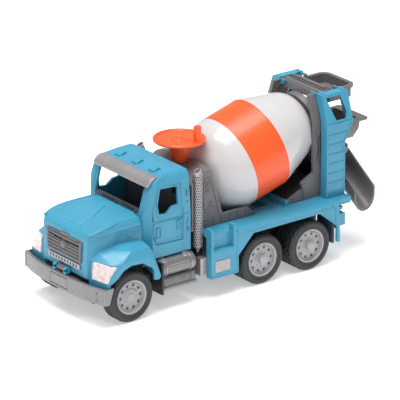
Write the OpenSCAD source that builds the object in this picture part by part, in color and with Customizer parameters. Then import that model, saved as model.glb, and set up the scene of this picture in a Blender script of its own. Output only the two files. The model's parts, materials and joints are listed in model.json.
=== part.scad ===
// Toy cement mixer truck, made of separate mouldings with real axles and gears.
// +X is the front of the truck, +Y its left side, +Z up. The ground is z = 0.

/* [Wheels] */
// Radius of every tyre
tyre_r = 22; // [20:0.5:22.5]
// Radius of the seat between tyre and rim
rim_r = 15; // [14:0.25:16]
// Outer face of the tyres, from the middle of the truck
tyre_face_y = 54; // [53:0.5:54.5]
// Width of a front tyre
front_tyre_w = 14.5; // [13:0.5:16]
// Width of a rear tyre
rear_tyre_w = 24; // [21:0.5:24.5]
// Place of the front axle
front_axle_x = 122.5; // [121:0.5:124]
// Place of the first rear axle
mid_axle_x = -15; // [-16:0.5:-14]
// Place of the last rear axle
rear_axle_x = -66.5; // [-68:0.5:-65]
// Radius of the steel axles
axle_r = 1.5; // [1.25:0.25:2]

/* [Drum] */
// Tilt of the drum's axis above level, rising to the rear
drum_tilt = 16.3; // [15:0.1:17]
// Radius of the orange band
drum_r = 41.3; // [40:0.1:41.5]
// Wall of the drum shells
drum_wall = 1.8; // [1.4:0.1:2.4]
// Length of the orange band along the axis
band_len = 35; // [33:0.5:36]
// Radius of the neck that turns in the rear frame
neck_r = 16; // [15:0.5:17]

/* [Gears and handwheel] */
// Teeth on each of the two bevel gears
gear_teeth = 16; // [12:2:20]
// Pitch radius of both bevel gears
gear_r = 9.2; // [8.6:0.1:9.6]
// Radius of the handwheel
handwheel_r = 22.6; // [20:0.2:22.6]
// Height of the handwheel's rim
handwheel_z = 126; // [125.5:0.5:130]
// Height of the crank peg above the rim
peg_h = 14; // [8:1:16]

/* [Body] */
// Top of the deck
deck_z = 55.5; // [55:0.5:56]
// Half width of the deck and its skirts
deck_w = 55; // [54.5:0.5:56]
// Half width of the cab below the windows
cab_w = 43; // [42:0.5:43.5]
// Wall of the cab and bonnet mouldings
shell = 2; // [1.6:0.1:2.4]
// Half width of the bumper
bumper_w = 57; // [56:0.5:58]

/* [Chute] */
// Fall of the chute below level
chute_fall = 33; // [29:1:35]
// Reach of the chute from its swivel axis
chute_len = 41.5; // [36:0.5:44]
// Outer radius of the chute's round bottom
chute_r = 11.5; // [10.5:0.5:12]

/* [Hidden] */
$fn = 64;
eps = 0.01;
run = 0.06;            // radial clearance of a part that turns in another

blue = [0.38, 0.74, 0.88];
orange = [1, 0.43, 0.23];
white = [0.87, 0.86, 0.86];
grey = [0.53, 0.51, 0.52];
black = [0.12, 0.12, 0.13];
silver = [0.72, 0.72, 0.74];

// Drum axis: it passes through [drum_x, 0, drum_z], and s is the distance rearward along it.
drum_x = -20.5;
drum_z = 95;
band_s = -3.4;
band_end = band_s + band_len;
nose_s = -37;
dome_round = 37;
tail_s = 76;
neck_end = 88;
ring_s = [78, 84];
// Handwheel axis, and the point where it crosses the drum's axis
hand_x = 33;
apex_s = -(hand_x - drum_x) / cos(drum_tilt);
apex_z = drum_z + apex_s * sin(drum_tilt);
cone_half = (90 - drum_tilt) / 2;
gear_off = gear_r / tan(cone_half);
gear_face = 4;
gear_taper = (gear_off - gear_face) / gear_off;
shaft_r = 4;
collar_top = 106.5;

// Half width, floor height and floor thickness of the chassis
chassis_w = 26;
chassis_z = 12;
floor_t = 2;
// Vertical axis of the chute's swivel, and the height where the channel starts to fall
swivel_x = -136;
swivel_z = 74.5;
spout_r = 8;
// Front and rear ends of the cab, and the plane of the grille
cab_back = 53.5;
cab_front = 99;
grille_x = 152;
// Half widths of the bonnet and of the drum's pedestal
bonnet_w = 36.4;
pedestal_w = 33;
// Place of each exhaust stack, and the axis of each fuel tank
stack_at = [44.2, 40];
tank_at = [42.4, 36];
// Inner and outer faces of the blue towers and of the posts beside them
tower_y = [34.2, 42];
post_y = [29.8, 33];
// Front faces of the posts and of the towers
post_x = -85.5;
tower_x = -92.6;
// The towers and posts lean towards the middle above lean_z
lean_z = 122;
lean = 0.33;
tower_top = 146.4;

// Extrudes an outline drawn in x and z across the truck, from y0 to y1.
module across(y0, y1)
  translate([0, y1, 0]) rotate([90, 0, 0]) linear_extrude(y1 - y0) children();

// Extrudes an outline drawn in y and z along the truck, from x0 to x1.
module along(x0, x1)
  translate([x0, 0, 0]) rotate([90, 0, 90]) linear_extrude(x1 - x0) children();

// Points of an arc, every ten degrees.
function arc(cx, cy, r, a0, a1) = [for (a = [a0:10:a1]) [cx + r * cos(a), cy + r * sin(a)]];

module block(lo, hi) translate(lo) cube(hi - lo);

module both() {
  children();
  mirror([0, 1, 0]) children();
}

module side(left) {
  if (left) children();
  else mirror([0, 1, 0]) children();
}

// Puts local +Z along the drum's axis, rearward, and local +X upward.
module at_drum() translate([drum_x, 0, drum_z]) rotate([0, drum_tilt - 90, 0]) children();

// A wall from y0 to y1 that leans towards the middle of the truck above lean_z.
module bent_wall(y0, y1) {
  shift = lean * (tower_top - lean_z);
  along(-130, -50) polygon([
    [y0, deck_z], [y1, deck_z], [y1, lean_z], [y1 - shift, tower_top], [y0 - shift, tower_top],
    [y0, lean_z]]);
}

// ---------- wheels ----------

// Local z = 0 is the wheel's outer face, and z grows towards the truck.
module wheel_place(x) translate([x, tyre_face_y, tyre_r]) rotate([90, 0, 0]) children();

module tyre_ring(w) color(black) rotate_extrude($fn = 96) polygon([
  [rim_r, 1.2], [rim_r + 0.9, 0.3], [tyre_r - 3, 0], [tyre_r - 1, 0.9], [tyre_r, 2.8],
  [tyre_r, w - 2.8], [tyre_r - 1, w - 0.9], [tyre_r - 3, w], [rim_r + 0.9, w - 0.3], [rim_r, w - 1.2]]);

module rim_blank(w, disc, hub_r, hub_top) rotate_extrude($fn = 96) polygon([
  [0, hub_top], [hub_r, hub_top], [hub_r, disc - 0.6], [hub_r + 1, disc], [rim_r - 2.4, disc],
  [rim_r - 1.4, 0.9], [rim_r, 0.7], [rim_r, w - 1.5], [rim_r - 1.5, w - 1.5],
  [rim_r - 2, disc + 1.8], [4.5, disc + 1.8], [4.5, w - 0.5], [0, w - 0.5]]);

module rim(w, holes, hole_r, hub_r, hub_top) {
  disc = 3.4;
  color(silver) difference() {
    rim_blank(w, disc, hub_r, hub_top);
    for (i = [0:holes - 1]) rotate([0, 0, i * 360 / holes])
      translate([10.4, 0, disc - 1]) cylinder(r = hole_r, h = 4, $fn = 24);
    translate([0, 0, disc + 0.6]) cylinder(r = axle_r, h = w);
  }
}

module front_rim() rim(front_tyre_w, 10, 1.15, 7, 2.4);
module rear_rim() rim(rear_tyre_w, 10, 1.05, 4.2, -0.4);

module axle(x) {
  half = tyre_face_y - 4;
  color(silver) translate([x, half, tyre_r]) rotate([90, 0, 0]) cylinder(r = axle_r, h = 2 * half);
}

// ---------- chassis and what it holds ----------

battery_box = [6, 58];
cover_screw_x = 32;
speaker_at = [84, 0];
switch_at = [66, 14];
screw_at = [[-80, 0], [-50, 0], [72, -16], [110, 0], [136, 0], [0, 0]];
screw_r = 2.6;
screw_t = 0.6;

module axle_bore(x) translate([x, 40, tyre_r]) rotate([90, 0, 0]) cylinder(r = axle_r + run, h = 80);

module axle_boss(x) both() translate([x, chassis_w, tyre_r]) rotate([90, 0, 0]) cylinder(r = 5, h = 9);

module chassis_rails() {
  across(-chassis_w, chassis_w)
    polygon([[-95, 20], [-87, chassis_z], [142, chassis_z], [150, 22], [150, 36], [143, 43],
             [52, 43], [48, 49.5], [-95, 49.5]]);
  for (x = [front_axle_x, mid_axle_x, rear_axle_x]) axle_boss(x);
}

module chassis() color(black) difference() {
  union() {
    difference() {
      chassis_rails();
      across(-chassis_w + floor_t, chassis_w - floor_t)
        polygon([
          [-93, 21], [-86, chassis_z + floor_t], [141, chassis_z + floor_t], [148, 23], [148, 60],
          [-93, 60]]);
    }
    for (x = [front_axle_x, mid_axle_x, rear_axle_x]) axle_boss(x);
    // battery box and its screw post
    block([battery_box[0] - 1.6, -20, chassis_z + 1], [battery_box[1] + 1.6, 20, 28]);
    for (x = [-40, 98]) block([x, -chassis_w + 1, chassis_z + 1], [x + 2, chassis_w - 1, 30]);
    // stack brackets and front mudflaps
    both() {
      block([36, chassis_w - 1, 37], [49, 35.6, 53]);
      block([stack_at[0] - 3.5, chassis_w - 1, 36.5], [stack_at[0] + 3.5, 42.5, 39]);
      block([89.5, chassis_w - 1, 28], [91.5, 38, 42]);
      block([89.5, 36, 16], [91.5, 53.5, 44]);
    }
  }
  for (x = [front_axle_x, mid_axle_x, rear_axle_x]) axle_bore(x);
  block([battery_box[0], -18, chassis_z - 1], [battery_box[1], 18, 26.4]);
  block([battery_box[0] - 1, -19, chassis_z - 1], [battery_box[1] + 1, 19, chassis_z + 1.6]);
  for (a = [0:45:315]) translate([speaker_at[0] + 6 * cos(a), 6 * sin(a), 0])
    cylinder(r = 1, h = 30, $fn = 24);
  translate([speaker_at[0], speaker_at[1], 0]) cylinder(r = 1.4, h = 30, $fn = 24);
  block([switch_at[0] - 2, switch_at[1] - 4, 0], [switch_at[0] + 2, switch_at[1] + 4, 20]);
  // stack sockets and seats for the screw heads
  both() translate([stack_at[0], stack_at[1], 36]) cylinder(r = 1.6, h = 5);
  for (p = screw_at) translate([p[0], p[1], chassis_z - 1]) cylinder(r = screw_r + 0.2, h = 1 + screw_t);
}

module battery_cover() color(black) difference() {
  block([battery_box[0] - 0.8, -18.8, chassis_z], [battery_box[1] + 0.8, 18.8, chassis_z + 1.4]);
  // finger grooves and the screw's seat
  for (x = [12, 20, 44, 52]) block([x, -10, chassis_z - 1], [x + 1.5, 10, chassis_z + 0.5]);
  translate([cover_screw_x, 0, chassis_z - 1]) cylinder(r = screw_r + 0.2, h = 1 + screw_t);
}

module battery_cells() color("goldenrod")
  for (i = [-1:1]) translate([9.5, i * 11, 19.6]) rotate([0, 90, 0]) union() {
    cylinder(r = 5.25, h = 43.5);
    translate([0, 0, 43]) cylinder(r = 1.9, h = 1.5);
  }

module circuit_board() color("darkgreen") {
  block([61, -20, 32], [96, 20, 33.6]);
  block([70, -6, 33.6], [80, 4, 35.8]);
  for (y = [-14, 10]) translate([88, y, 33.6 - eps]) cylinder(r = 3, h = 6);
}

module speaker() color([0.25, 0.25, 0.27])
  translate([speaker_at[0], speaker_at[1], chassis_z + floor_t + 0.1]) union() {
  cylinder(r = 12.5, h = 2);
  translate([0, 0, 2 - eps]) cylinder(r = 8, h = 3.5);
}

module power_switch() color(grey) {
  translate([switch_at[0], switch_at[1], chassis_z]) {
    block([-3.5, -4, floor_t + 0.15], [3.5, 2, 5]);
    block([-1.8, -3.6, 0.3], [1.8, -0.4, 3]);
  }
}

// Cross-head screws, with their heads flush in their seats.
module screws() color(silver)
  for (p = concat(screw_at, [[cover_screw_x, 0]])) translate([p[0], p[1], chassis_z]) difference() {
    cylinder(r = screw_r, h = screw_t);
    for (a = [0, 90]) rotate([0, 0, a]) translate([-1.6, -0.3, -1]) cube([3.2, 0.6, 1.3]);
  }

// ---------- cab ----------

// The cab's outer shape, shrunk by t all round.
module cab_block(t = 0) intersection() {
  across(-cab_w - 1, cab_w + 1) polygon([
    [cab_back + t, 45 - 2 * t], [90 - t, 45 - 2 * t], [cab_front - t, 57], [cab_front - t, 83.6],
    [92.8 - t, 105.5], [88.6 - t, 111.6 - t], [82, 114.8 - t], [70, 116.8 - t],
    [cab_back + 2.5 + t, 117 - t], [cab_back + t, 115 - t]]);
  along(50, 102) polygon([
    [-cab_w + t, 40], [cab_w - t, 40], [cab_w - t, 79], [40.6 - t, 108], [39.4 - t, 113 - t],
    [36.5, 116 - t], [32, 117.2 - t], [-32, 117.2 - t], [-36.5, 116 - t], [-39.4 + t, 113 - t],
    [-40.6 + t, 108], [-cab_w + t, 79]]);
  translate([0, 0, 30]) linear_extrude(90) polygon([
    [50, -cab_w + t], [93.6 - 0.4 * t, -cab_w + t], [99.4 - t, -36 + 0.6 * t],
    [99.4 - t, 36 - 0.6 * t], [93.6 - 0.4 * t, cab_w - t], [50, cab_w - t]]);
}

side_window = [[84.3, 105], [66.5, 103.8], [66.5, 88.3], [72.6, 87.8], [79, 82.7], [86.5, 83.4],
               [87.6, 91.7]];
door_line = [[86.5, 107.4], [61.3, 108], [61.5, 56], [89, 57], [93.4, 66], [93.4, 88]];
door_middle = [78, 81];

module cab() color(blue) difference() {
  union() {
    difference() {
      cab_block();
      cab_block(shell);
      across(-50, 50) polygon(side_window);
      along(76, 105) polygon([[-30.5, 85.5], [30.5, 85.5], [31.5, 106], [-31.5, 106]]);
      // door gaps are grooves in the moulding, so the doors stay shut
      both() difference() {
        across(cab_w - 0.7, 50) polygon(door_line);
        across(cab_w - 1, 51)
          translate(door_middle) scale([0.965, 0.975]) translate(-door_middle) polygon(door_line);
      }
    }
    // handle plates, belt line and roof lamps
    both() {
      block([64.5, cab_w - 0.5, 66], [68.5, cab_w + 0.8, 74]);
      block([85, cab_w - 0.5, 64], [90, cab_w + 0.7, 71]);
      block([62.5, cab_w - 0.5, 76.8], [93, cab_w + 0.6, 78]);
    }
    for (y = [-23.5, 0, 23.5]) across(y - 4, y + 4)
      polygon([[73, 113], [73, 117.8], [77, 118.2], [80.5, 116.4], [80.5, 113]]);
  }
  block([56, -34, 40], [96, 34, 46]);
}

module cab_interior() color([0.2, 0.2, 0.22]) {
  difference() {
    union() {
      block([56.5, -38, 46], [90, 38, 48]);
      block([58, -36, 47], [74, 36, 66]);
      across(-36, 36) polygon([[57, 60], [64, 60], [61, 92], [57, 92]]);
      for (y = [-18, 18]) block([57, y - 7, 90], [61, y + 7, 100]);
    }
    block([62, -3, 60], [76, 3, 70]);
  }
}

module dashboard() color([0.2, 0.2, 0.22]) difference() {
  across(-34, 34) polygon([
    [92, 52], [96.5, 60], [96.5, 83], [95.6, 85.6], [93.4, 85.6], [88, 80], [88, 70], [91, 66]]);
  block([87, -12, 71.5], [89, 12, 78]);
}

module steering_wheel() color([0.15, 0.15, 0.16]) translate([83, 18, 77]) rotate([0, 60, 0]) union() {
  rotate_extrude($fn = 48) translate([7, 0]) circle(r = 0.9, $fn = 20);
  for (a = [0, 120, 240]) rotate([0, 0, a]) translate([0, -0.7, -0.6]) cube([6.6, 1.4, 1.2]);
  translate([0, 0, -1]) cylinder(r = 1.8, h = 5);
}

visor_at = [86.4, 105.8];
visor_r = 9.1;
visor_w = 37.5;

module sun_visor() color(silver) difference() {
  union() {
    across(-visor_w, visor_w) difference() {
      intersection() {
        translate(visor_at) circle(r = visor_r, $fn = 96);
        polygon([visor_at, [100, 108.5], [100, 122], [78, 122], [80.8, 116.4]]);
      }
      translate(visor_at) circle(r = visor_r - 1.5, $fn = 96);
    }
    both() across(visor_w - 1.6, visor_w) polygon([
      [86.5, 103.5], [89, 103.2], [93.6, 107.4], [94.8, 108.2], [93, 112], [88, 114.3], [83.8, 111]]);
  }
  cab_block();
}

// ---------- bonnet ----------

module bonnet_block(t = 0) intersection() {
  across(-40, 40) polygon([
    [cab_front + 0.1 + t, 40 - t], [cab_front + 0.1 + t, 83.6 - t], [112, 84.2 - t], [126, 83 - t],
    [138, 80.6 - t], [146, 77.8 - t], [150.6 - t, 74.6 - t], [grille_x - t, 71], [grille_x - t, 38 - 2 * t],
    [146, 38 - 2 * t]]);
  along(98, 156) polygon([
    [-bonnet_w + t, 30], [bonnet_w - t, 30], [bonnet_w - t, 68], [35.4 - t, 77], [33 - t, 81 - t],
    [24, 83.6 - t], [0, 85 - t], [-24, 83.6 - t], [-33 + t, 81 - t], [-35.4 + t, 77], [-bonnet_w + t, 68]]);
  translate([0, 0, 20]) linear_extrude(80) polygon([
    [98, -bonnet_w + t], [134, -34.6 + t], [147, -32.8 + t], [grille_x + 0.1, -30.6 + t],
    [grille_x + 0.1, 30.6 - t], [147, 32.8 - t], [134, 34.6 - t], [98, bonnet_w - t]]);
}

// The fender's outline where it leaves the bonnet, at its crease and at its lip.
fender_root = [[150, 40], [149.4, 55.4], [143, 61], [122, 64.4], [99.2, 63], [97, 40]];
fender_crease = [[148.6, 40], [141.8, 54.2], [136, 57], [122, 62.4], [103, 61.8], [98.6, 55], [93.4, 34.5],
                 [95.4, 32]];
fender_lip = [[147.6, 39.6], [141, 49], [133, 54.4], [124, 56.6], [111, 56], [101, 50], [93.4, 34.5],
              [95.4, 32]];
arch = [[102, 43.5], [112, 50.2], [124, 51], [132, 48], [138, 42.4], [144, 39]];
lamp_at = [133.4, 45.5, 47];

// The headlight's slanted block, made g larger all round.
module lamp_block(g = 0) hull() {
  across(bonnet_w - g, bonnet_w + 0.2) polygon([
    [147 - g, 40.4 - g], [151.2 + g, 40.4 - g], [149.9 + g, 54.6 + g], [146 - g, 54.6 + g]]);
  across(54, 54.2 + g) polygon([
    [143.6 - g, 40.2 - g], [148.2 + g, 40.2 - g], [141.8 + g, 53 + g], [138.4 - g, 53 + g]]);
}

module bonnet() color(blue) difference() {
  union() {
    bonnet_block();
    both() hull() {
      across(32, 32.2) polygon(fender_root);
      across(51.3, 51.5) polygon(fender_crease);
      across(deck_w - 1, deck_w) polygon(fender_lip);
    }
  }
  bonnet_block(shell);
  block([98, -chassis_w - 0.2, 38], [102, chassis_w + 0.2, 43.2]);
  // arches and wheel wells
  both() across(50, deck_w + 1) polygon(concat([[100.5, 20], [100.5, 40]], arch, [[144, 20]]));
  both() across(37.5, deck_w - 2.2) polygon([
    [143, 36], [139.5, 42], [136.4, 48], [130, 56], [121.6, 59.4], [104.4, 58.6], [101, 54], [96, 34.5],
    [96, 20], [140, 20]]);
  both() across(30, 40) polygon([[99, 20], [99, 56], [130, 56], [142, 46], [144, 38], [144, 20]]);
  cab_block(-0.1);
  // lamp pockets and holes
  both() lamp_block(0.06);
  both() translate([130, lamp_at[1], lamp_at[2]]) rotate([0, 90, 0]) cylinder(r = 2.6, h = 24);
}

module headlight_leds() color("white") both() translate(lamp_at) rotate([0, 90, 0]) union() {
  cylinder(r = 2.5, h = 11.2);
  translate([0, 0, -1]) cylinder(r = 3.2, h = 1.2);
}

module headlight_lens(left) color([0.95, 0.93, 0.93]) side(left) difference() {
  lamp_block();
  hull() {
    across(38, 38.2) polygon([[140, 42], [149.5, 42], [148.4, 53.2], [140, 53.2]]);
    across(52.6, 52.8) polygon([[130, 41.8], [146.3, 41.8], [140.6, 51.6], [130, 51.6]]);
  }
}

module grille() color(grey) difference() {
  union() {
    along(grille_x, grille_x + 1.6) polygon([
      [-23.5, 50], [23.5, 50], [25, 68.6], [6, 68.6], [4, 70.2], [-4, 70.2], [-6, 68.6], [-25, 68.6]]);
    translate([grille_x + 1, 0, 60]) rotate([0, 90, 0]) cylinder(r = 3.4, h = 1.6);
  }
  for (z = [52.4:2.9:67]) difference() {
    block([grille_x + 0.8, -22, z], [grille_x + 3, 22, z + 1.4]);
    translate([grille_x, 0, 60]) rotate([0, 90, 0]) cylinder(r = 4, h = 4);
  }
}

module intake_strip() color(silver) difference() {
  block([grille_x, -22, 43.6], [grille_x + 1.4, 22, 48.4]);
  for (y = [-20:4:17]) block([grille_x + 0.7, y, 44.8], [grille_x + 2, y + 2.4, 47.2]);
}

// ---------- bumper ----------

bumper_front = 159;
function bow(y) = bumper_front - 7 * pow(abs(y) / bumper_w, 3);

module bumper() color(silver) difference() {
  union() {
    translate([0, 0, 22.3]) linear_extrude(13.9)
      polygon(concat([for (y = [-bumper_w:3:bumper_w]) [bow(y), y]],
                     [for (y = [bumper_w - 2:-5:-bumper_w + 2]) [bow(y) - 3, y]]));
    both() across(bumper_w - 2, bumper_w) polygon([[148, 22.3], [153, 22.3], [153, 36.2], [143.4, 36.2]]);
    block([150.1, -20, 25], [157, 20, 34]);
  }
  both() for (z = [26, 32]) translate([150, 48, z]) rotate([0, 90, 0]) cylinder(r = 0.5, h = 20, $fn = 24);
  // a groove round a blank plate
  difference() {
    block([bumper_front - 0.6, -12.5, 24.3], [bumper_front + 1, 12.5, 34.3]);
    block([bumper_front - 1, -11.8, 25], [bumper_front + 2, 11.8, 33.6]);
  }
}

module tow_hooks() color(blue) for (y = [-9.5, 5.5]) across(y, y + 3)
  difference() {
    union() {
      translate([155.5, 39.4]) circle(r = 3.2, $fn = 40);
      translate([152.6, 36.3]) square([5.6, 3]);
    }
    translate([155.5, 39.6]) circle(r = 1.3, $fn = 32);
    translate([155.5, 39]) square([4, 1.4]);
  }

module winch_roller() color(grey)
  translate([154.4, 4.8, 39.4]) rotate([90, 0, 0]) cylinder(r = 2.4, h = 10.6);

// ---------- side fittings ----------

module exhaust_stack(left) color(silver) side(left) translate([stack_at[0], stack_at[1], 0]) difference() {
  union() {
    translate([0, 0, 39.2]) cylinder(r = 1.5, h = 5);
    translate([0, 0, 42]) cylinder(r1 = 2, r2 = 3.8, h = 3);
    translate([0, 0, 45 - eps]) cylinder(r = 3.8, h = 65);
    translate([0, 0, 108]) cylinder(r = 3, h = 7);
  }
  translate([0, 0, 109]) cylinder(r = 2.2, h = 10);
  translate([-6, -6, 115.4]) rotate([0, 28, 0]) cube([20, 12, 8]);
}

module grab_bars() color(grey) both() {
  block([50.6, 41, 60], [52, 42.6, 103]);
  for (z = [60, 101.4]) block([50.6, 38, z], [53.45, 42, z + 1.6]);
}

module fuel_tank(left) color(silver) side(left) {
  translate([cab_back, tank_at[0], tank_at[1]]) rotate([0, 90, 0]) cylinder(r = 7.8, h = 35);
  for (x = [57, 83]) translate([x, tank_at[0], tank_at[1]]) rotate([0, 90, 0]) cylinder(r = 8.3, h = 2);
  block([54, chassis_w, 30], [88, 42, 40]);
  along(53, 88) polygon([[34, 28.6], [47, 28.6], [48.6, 21], [51, 20], [51, 18], [36, 18], [34, 22]]);
}

module side_boxes() color(silver) both() block([41.1, chassis_w, 21], [48, 49, 36.4]);

// ---------- bed ----------

skirt = [[41, deck_z], [40.4, 17.6], [12.1, 17.6], [12.1, 32.9], [-4, 49.3], [-75.5, 49.6], [-94.4, 34.2],
         [-94.4, 19.5], [-98, 18.5], [-96.6, deck_z]];
well = [-44, 20];

module bed() color(blue) difference() {
  union() {
    block([-97, -deck_w, deck_z - 2], [41, deck_w, deck_z]);
    block([-113.6, -50, deck_z - 5.5], [-96, 50, deck_z]);
    both() {
      across(deck_w - 2.2, deck_w) polygon(skirt);
      block([12.2, 47.5, 17.8], [41, 50, deck_z]);
      block([12.2, 47.5, 17.8], [41, deck_w, 42]);
      for (x = [38.4, 14.8]) across(48, deck_w) union() {
        translate([x, 42]) square([2.6, 19]);
        translate([x + 1.3, 61]) circle(r = 1.3, $fn = 32);
      }
      // rear apron, lamp boxes and hinge lugs
      block([-98, 30, 30], [-96, 53, 51]);
      block([-107.6, 36, 31], [-97, 50, 42]);
      across(40, 48) polygon([[-98, 51], [-108, 51], [-106, 45], [-98, 42]]);
    }
    block([-57, -34, deck_z - 1], [-54, 34, 60]);
    block([well[0] - 1.5, -23.5, 50], [well[1] + 1.5, 23.5, deck_z - 1]);
  }
  block([well[0], -22, 51.2], [well[1], 22, deck_z + 1]);
  both() {
    block([17.4, 50, 42], [38.4, deck_w + 1, deck_z + 9]);
    block([21, deck_w - 1, 22.6], [37, deck_w + 1, 33.2]);
    block([14, 49.5, 16], [39, 53, 40]);
  }
  block([-111.6, -48, deck_z - 8], [-98, 48, deck_z - 2]);
  // room for the exhaust stacks
  both() block([39.6, 35.2, 50], [42, 45, deck_z + 1]);
}

module step_treads() color(silver) both() {
  block([21.1, deck_w - 1, 22.7], [36.9, deck_w + 0.1, 33.1]);
}

module rear_mudflaps() color([0.25, 0.33, 0.42]) both() block([-93.6, 30.5, 18], [-91.8, 52.4, 49]);

// ---------- drum drive ----------

// A straight bevel gear. Its large end is at z = 0, and it tapers towards +z.
module bevel_teeth(turn) {
  pitch = 360 / gear_teeth;
  add = 0.9 * gear_r / gear_teeth * 2;
  root_r = gear_r - 1.15 * add;
  tip_r = gear_r + 0.8 * add;
  rotate([0, 0, turn]) linear_extrude(gear_face, scale = gear_taper)
    polygon([for (i = [0:gear_teeth - 1])
      for (q = [[-0.30, root_r], [-0.115, tip_r], [0.115, tip_r], [0.30, root_r]])
        [q[1] * cos((i + q[0]) * pitch), q[1] * sin((i + q[0]) * pitch)]]);
}

module pedestal_block(t = 0) intersection() {
  across(-pedestal_w - 1, pedestal_w + 1) polygon([
    [12 + 1.1 * t, 64], [26.3 + t, 110.8 - 1.5 * t], [33, 106.4 - t], [46 - t, 100 - t],
    [46 - t, deck_z - 2 * t], [12 + 1.1 * t, deck_z - 2 * t]]);
  along(5, 50) polygon([
    [-pedestal_w + t, 50], [pedestal_w - t, 50], [pedestal_w - t, 106.6 - t], [12, 111.5 - t],
    [-12, 111.5 - t], [-pedestal_w + t, 106.6 - t]]);
}

module base_skirt(t = 0) across(-pedestal_w + t, pedestal_w - t)
  polygon([[-22.6 + t, deck_z - 2 * t], [-14 + t, 64.6 + t], [46 - t, 64.6 + t], [46 - t, deck_z - 2 * t]]);

module pedestal() color(grey) difference() {
  union() {
    difference() {
      union() {
        pedestal_block();
        base_skirt();
      }
      pedestal_block(shell);
      difference() {
        base_skirt(shell);
        block([12, -pedestal_w - 2, 62], [20, pedestal_w + 2, 70]);
      }
      block([-24, -31, 50], [12, 31, 80]);
    }
    // collar for the handwheel's shaft
    translate([hand_x, 0, 99]) cylinder(r = 9.6, h = collar_top - 99);
    // front bearing of the drum
    intersection() {
      at_drum() translate([0, 0, apex_s - 14]) cylinder(r = 5.5, h = 8.5);
      pedestal_block();
    }
    both() {
      // side panels with raised frames and bars
      for (i = [0:6])
        block([-13.5 + 8.7 * i, pedestal_w - 0.5, deck_z + 0.2], [-12.3 + 8.7 * i, pedestal_w + 0.7, 62.6]);
      across(pedestal_w - 0.5, pedestal_w + 0.8) difference() {
        polygon([[16.6, 72.4], [25.4, 98.8], [33, 98.8], [33, 72.4]]);
        polygon([[17.9, 73.4], [26.1, 97.8], [32, 97.8], [32, 73.4]]);
      }
      for (i = [0:4]) block([27, pedestal_w - 0.5, 87 + 1.9 * i], [30.6, pedestal_w + 0.6, 87.9 + 1.9 * i]);
      translate([25.6, pedestal_w - 0.5, 76.6]) rotate([-90, 0, 0]) cylinder(r = 1.9, h = 1.2);
    }
  }
  at_drum() translate([0, 0, apex_s - 12.5]) cylinder(r = 2.5 + run, h = 12.5);
  at_drum() translate([0, 0, apex_s + 5]) cylinder(r = gear_r + 2, h = gear_off - 3.4);
  at_drum() translate([0, 0, apex_s + 12]) cylinder(r = 6, h = 20);
  translate([hand_x, 0, collar_top]) cylinder(r = 10.4, h = 20);
  translate([hand_x, 0, 90]) cylinder(r = shaft_r + run, h = 30);
}

module pinion() color(white) union() {
  translate([hand_x, 0, apex_z + gear_off]) mirror([0, 0, 1]) bevel_teeth(180);
  translate([hand_x, 0, apex_z + gear_off - eps]) cylinder(r = 6.5, h = 3);
  translate([hand_x, 0, apex_z + gear_off]) cylinder(r = shaft_r, h = 116 - apex_z - gear_off);
}

module drum_gear() color(white) at_drum() union() {
  translate([0, 0, apex_s + gear_off]) mirror([0, 0, 1]) bevel_teeth(180 / gear_teeth);
  translate([0, 0, apex_s + gear_off - eps]) cylinder(r = 5, h = nose_s - apex_s - gear_off + eps);
  translate([0, 0, apex_s - 11.5]) cylinder(r = 2.5, h = 12 + gear_off);
}

module handwheel() color(orange) translate([hand_x, 0, 0]) difference() {
  union() {
    rotate_extrude($fn = 96) polygon([
      [0, handwheel_z - 2], [handwheel_r - 1.6, handwheel_z - 1.6], [handwheel_r, handwheel_z - 0.4],
      [handwheel_r, handwheel_z + 0.9], [handwheel_r - 0.8, handwheel_z + 1.6],
      [handwheel_r - 2.4, handwheel_z + 1.5],
      [handwheel_r - 3.2, handwheel_z + 0.4], [7.8, handwheel_z + 0.6], [7.2, handwheel_z + 1.5],
      [4.2, handwheel_z + 1.5], [3.6, handwheel_z + 0.9], [2.6, handwheel_z + 0.9], [2.2, handwheel_z + 1.9],
      [0, handwheel_z + 1.9]]);
    translate([0, 0, collar_top + 0.4]) cylinder(r1 = 7.4, r2 = 9.6, h = handwheel_z - 1.9 - collar_top);
    for (a = [-20, 100, 220]) rotate([0, 0, a]) translate([7, -0.7, handwheel_z]) cube([12.6, 1.4, 1]);
    translate([-7.8, 15, handwheel_z - 1]) cylinder(r1 = 3.6, r2 = 3.1, h = peg_h + 1);
  }
  translate([0, 0, collar_top - 1]) cylinder(r = shaft_r, h = 117 - collar_top);
}

// ---------- drum ----------

function dome_arc(r0) = [for (a = [0:5:60]) [drum_r - dome_round + r0 * cos(a), band_s - r0 * sin(a)]];

module drum_front() color(white) at_drum() difference() {
  intersection() {
    rotate_extrude($fn = 128) polygon(concat([[0, band_s]], dome_arc(dome_round), [[0, -60]]));
    translate([0, 0, nose_s]) cylinder(r = 60, h = 60);
  }
  intersection() {
    rotate_extrude($fn = 128) polygon(concat([[0, band_s + 1]], [[drum_r - drum_wall, band_s + 1]],
                                             dome_arc(dome_round - drum_wall), [[0, -60]]));
    translate([0, 0, nose_s + 2]) cylinder(r = 60, h = 60);
  }
}

module drum_band() color(orange) at_drum() difference() {
  translate([0, 0, band_s]) cylinder(r = drum_r, h = band_len, $fn = 128);
  translate([0, 0, band_s - 1]) cylinder(r = drum_r - drum_wall, h = band_len + 2, $fn = 128);
}

module drum_rear() color(white) at_drum() difference() {
  rotate_extrude($fn = 128) polygon([
    [0, band_end], [drum_r, band_end], [drum_r - 0.6, band_end + 3], [30.4, 66], [28, 70.6], [25.4, 73.6],
    [22, 75.4], [18.5, tail_s], [neck_r, tail_s], [neck_r, neck_end], [13.5, neck_end], [13.5, tail_s + 4],
    [0, tail_s + 4]]);
  rotate_extrude($fn = 128) polygon([
    [0, band_end - 1], [drum_r - drum_wall, band_end - 1], [drum_r - drum_wall - 0.6, band_end + 3],
    [28.7, 65.2], [26.4, 69.4], [24, 72], [20, 73.6], [0, 73.6]]);
}

// ---------- rear frame, towers, hopper and chute ----------

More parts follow.
